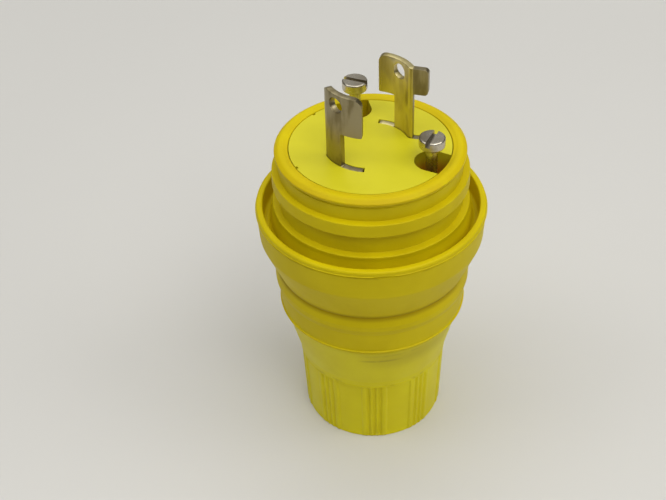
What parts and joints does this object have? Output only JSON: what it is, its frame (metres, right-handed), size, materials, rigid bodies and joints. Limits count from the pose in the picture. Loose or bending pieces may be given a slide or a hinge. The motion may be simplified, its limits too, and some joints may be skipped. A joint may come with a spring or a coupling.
{
  "type": "locking plug",
  "caption": "Rewirable watertight twist-lock plug in a yellow rubber boot: hooked blades, captive assembly screws, sealing beads, cup flange and a ribbed cord nut.",
  "frame": {"origin": "centre of the foot of the cord nut, on the plane that the plug stands on", "axes": "+Z along the plug's axis towards the blades; -Y towards the side with the hooked blade; +X to the right of that side"},
  "size_m": [0.0568, 0.0568, 0.1006],
  "materials": {
    "yellow_rubber": "moulded elastomer, satin",
    "yellow_nylon": "moulded nylon, fine matt texture",
    "plated_brass": "stamped, nickel plated",
    "plated_steel": "turned, nickel plated",
    "brass": "bare",
    "black_nylon": "moulded, matt",
    "white_nylon": "moulded, matt",
    "black_rubber": "moulded, matt"
  },
  "bodies": {
    "plug": {"boot": "yellow_rubber", "core_housing": "yellow_nylon", "thread_inserts": "brass", "face_insert": "yellow_nylon", "rear_insulator": "black_nylon", "retainer_screws": "plated_steel", "insert_gasket": "black_rubber", "neck_seal_ring": "black_rubber", "cord_grommet": "black_rubber", "hook_blade": "plated_brass", "wide_blade": "plated_brass"},
    "right_washer": {"right_screw_washer": "plated_steel"},
    "right_screw": {"right_assembly_screw": "plated_steel"},
    "left_washer": {"left_screw_washer": "plated_steel"},
    "left_screw": {"left_assembly_screw": "plated_steel"},
    "hook_plate": {"hook_clamp": "brass"},
    "hook_screw": {"hook_terminal_screw": "plated_steel"},
    "wide_plate": {"wide_clamp": "brass"},
    "wide_screw": {"wide_terminal_screw": "plated_steel"},
    "nut_washer": {"slip_washer": "white_nylon"},
    "gland_nut": {"cord_nut": "yellow_nylon"}
  },
  "joints": [
    {"name": "right_screw_feed", "type": "slide", "parent": "plug", "child": "right_washer", "axis": [0, 0, 1], "range_m": [-0.0108, 0.0018]},
    {"name": "right_screw_turn", "type": "hinge", "parent": "right_washer", "child": "right_screw", "pos_m": [0.01413, -0.00683, 0.0858], "axis": [0, 0, 1], "range_deg": [-4897, 817]},
    {"name": "left_screw_feed", "type": "slide", "parent": "plug", "child": "left_washer", "axis": [0, 0, 1], "range_m": [-0.0126, 0]},
    {"name": "left_screw_turn", "type": "hinge", "parent": "left_washer", "child": "left_screw", "pos_m": [-0.00359, 0.01529, 0.0876], "axis": [0, 0, 1], "range_deg": [-5713, 0]},
    {"name": "hook_terminal_feed", "type": "slide", "parent": "plug", "child": "hook_plate", "axis": [-0.5736, -0.8192, 0], "range_m": [-0.0022, 0]},
    {"name": "hook_terminal_turn", "type": "hinge", "parent": "hook_plate", "child": "hook_screw", "pos_m": [-0.00837, -0.01196, 0.0565], "axis": [-0.5736, -0.8192, 0], "range_deg": [-1248, 0]},
    {"name": "wide_terminal_feed", "type": "slide", "parent": "plug", "child": "wide_plate", "axis": [0.682, 0.7314, 0], "range_m": [-0.0022, 0]},
    {"name": "wide_terminal_turn", "type": "hinge", "parent": "wide_plate", "child": "wide_screw", "pos_m": [0.00996, 0.01068, 0.0565], "axis": [0.682, 0.7314, 0], "range_deg": [-1248, 0]},
    {"name": "cord_nut_feed", "type": "slide", "parent": "plug", "child": "nut_washer", "axis": [0, 0, 1], "range_m": [-0.012, 0]},
    {"name": "cord_nut_turn", "type": "hinge", "parent": "nut_washer", "child": "gland_nut", "pos_m": [0, 0, 0.018], "axis": [0, 0, 1], "range_deg": [-2160, 0]}
  ],
  "couplings": [
    {"joint": "right_screw_turn", "follows": "right_screw_feed", "rad_per_m": 7913.3},
    {"joint": "left_screw_turn", "follows": "left_screw_feed", "rad_per_m": 7913.3},
    {"joint": "hook_terminal_turn", "follows": "hook_terminal_feed", "rad_per_m": 9894.8},
    {"joint": "wide_terminal_turn", "follows": "wide_terminal_feed", "rad_per_m": 9894.8},
    {"joint": "cord_nut_turn", "follows": "cord_nut_feed", "rad_per_m": 3141.6}
  ]
}
